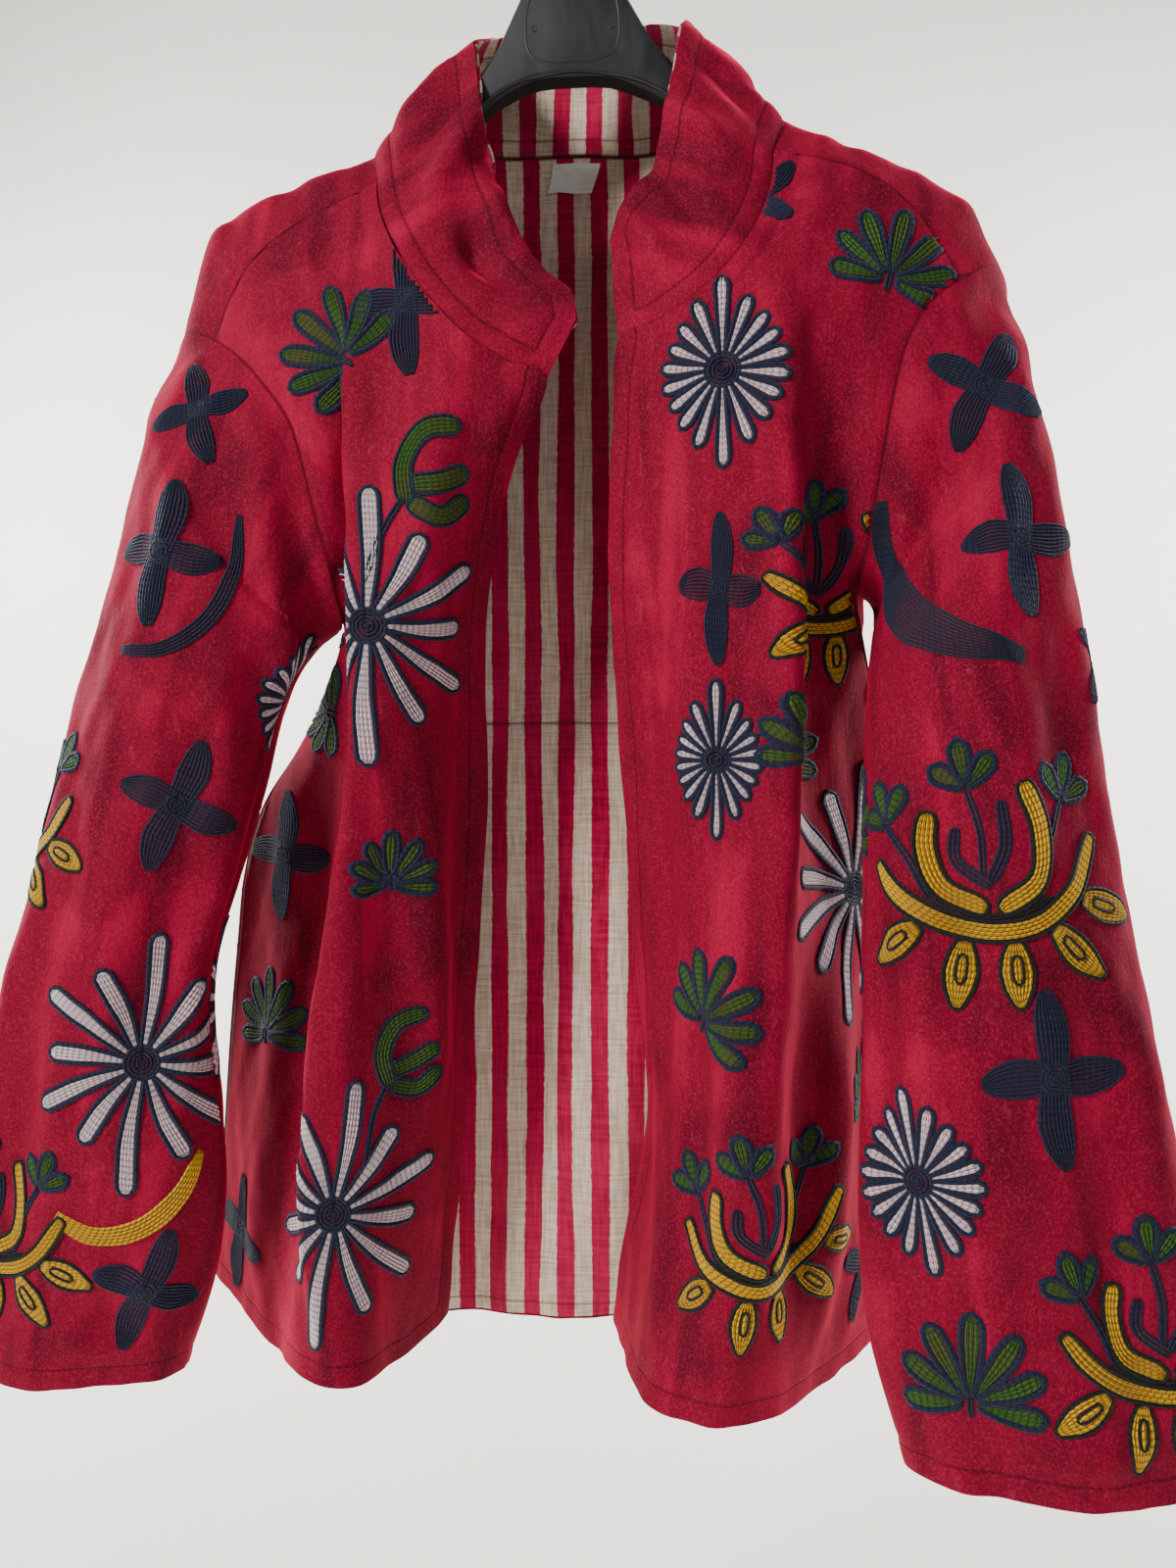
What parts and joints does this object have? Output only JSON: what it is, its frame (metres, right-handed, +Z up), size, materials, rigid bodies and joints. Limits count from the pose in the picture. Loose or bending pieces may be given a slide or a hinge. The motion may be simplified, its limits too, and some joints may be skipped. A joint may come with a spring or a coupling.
{
  "type": "suzani jacket on a clothes hanger",
  "caption": "Hip-length open-front velvet jacket with a band collar, straight sleeves and flower embroidery, on a plastic hanger.",
  "frame": {"origin": "the top of the hanger hook's inner curve, where a rail carries it", "axes": "+Z up, -Y out of the garment's front, +X towards the wearer's left"},
  "size_m": [0.6562, 0.1782, 0.8558],
  "materials": {
    "velvet": "crimson cotton velvet with chain-stitch wool embroidery",
    "striped_cotton": "plain weave in magenta and cream stripes",
    "label_tape": "smooth white satin tape",
    "hanger_plastic": "satin moulded black",
    "hook_steel": "bright zinc-plated wire"
  },
  "bodies": {
    "root": {"back": "velvet", "front_right": "velvet", "front_left": "velvet", "sleeve_right": "velvet", "sleeve_left": "velvet", "collar": "velvet", "lining_back_upper": "striped_cotton", "lining_back_lower": "striped_cotton", "lining_front_right": "striped_cotton", "lining_front_left": "striped_cotton", "collar_lining": "striped_cotton", "care_label": "label_tape", "hanger_body": "hanger_plastic", "hanger_hook": "hook_steel"}
  },
  "joints": []
}
